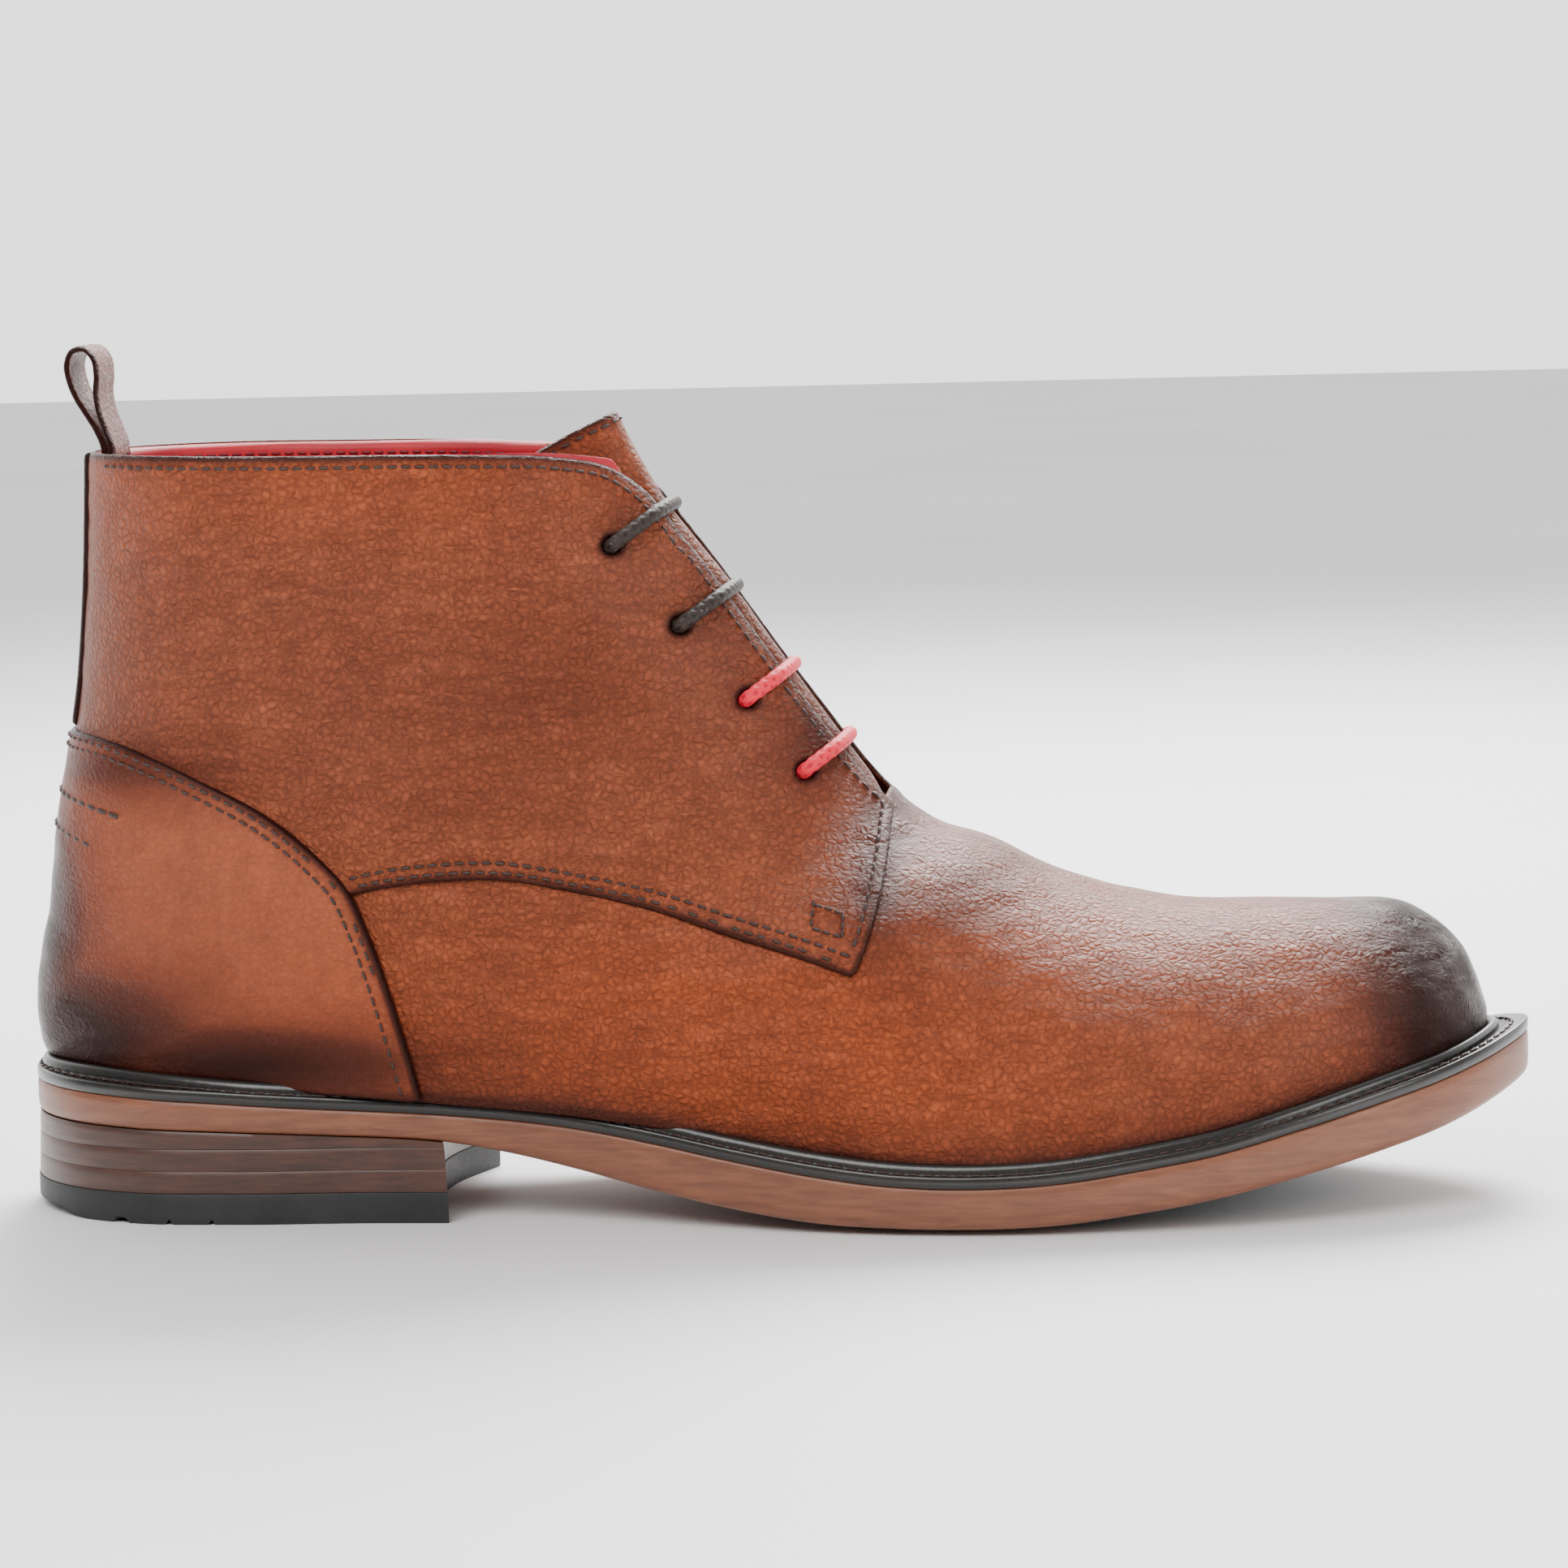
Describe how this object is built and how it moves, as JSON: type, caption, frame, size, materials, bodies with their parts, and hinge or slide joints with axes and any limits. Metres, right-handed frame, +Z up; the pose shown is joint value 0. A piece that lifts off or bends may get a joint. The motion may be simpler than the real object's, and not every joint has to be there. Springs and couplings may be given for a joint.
{
  "type": "chukka boot",
  "caption": "Right-foot leather ankle boot with a plain toe, lace-up facings, stacked heel, leather sole and a heel pull loop.",
  "frame": {"origin": "on the ground, under the middle of the boot's length and width", "axes": "+X towards the toe, +Y towards the medial side (the boot is a right one), +Z up"},
  "size_m": [0.308, 0.1013, 0.1773],
  "materials": {
    "upper_leather": "burnished pebbled leather",
    "lining_leather": "smooth red leather",
    "board": "matt fibre board",
    "cork": "granulated cork",
    "steel": "plain steel",
    "welt_leather": "black waxed leather",
    "sole_leather": "waxed sole edge",
    "heel_leather": "stacked leather, waxed",
    "black_rubber": "matt moulded rubber",
    "brown_cord": "round waxed lace",
    "red_cord": "round waxed lace"
  },
  "bodies": {
    "boot": {"vamp": "upper_leather", "quarter_lateral": "upper_leather", "quarter_medial": "upper_leather", "heel_counter_cover": "upper_leather", "back_strip": "upper_leather", "quarter_lining_lateral": "lining_leather", "quarter_lining_medial": "lining_leather", "vamp_lining": "lining_leather", "toe_puff": "board", "heel_stiffener": "board", "facing_stay_lateral": "board", "facing_stay_medial": "board", "sock_liner": "lining_leather", "insole_board": "board", "cork_filler": "cork", "steel_shank": "steel", "welt": "welt_leather", "outsole": "sole_leather", "tread_insert": "black_rubber", "heel_lift_1": "heel_leather", "heel_lift_2": "heel_leather", "heel_lift_3": "heel_leather", "top_lift": "black_rubber", "heel_nails": "steel", "lace_brown": "brown_cord", "lace_red": "red_cord"},
    "tongue": {"tongue": "upper_leather", "tongue_lining": "lining_leather"},
    "pull_loop": {"pull_loop": "upper_leather"}
  },
  "joints": [
    {"name": "tongue_fold", "type": "hinge", "parent": "boot", "child": "tongue", "pos_m": [0.024, 0, 0.071], "axis": [0, 1, 0], "range_deg": [-10, 0]},
    {"name": "loop_fold", "type": "hinge", "parent": "boot", "child": "pull_loop", "pos_m": [-0.1344, 0.002, 0.1577], "axis": [0, 1, 0], "range_deg": [-25, 35]}
  ]
}
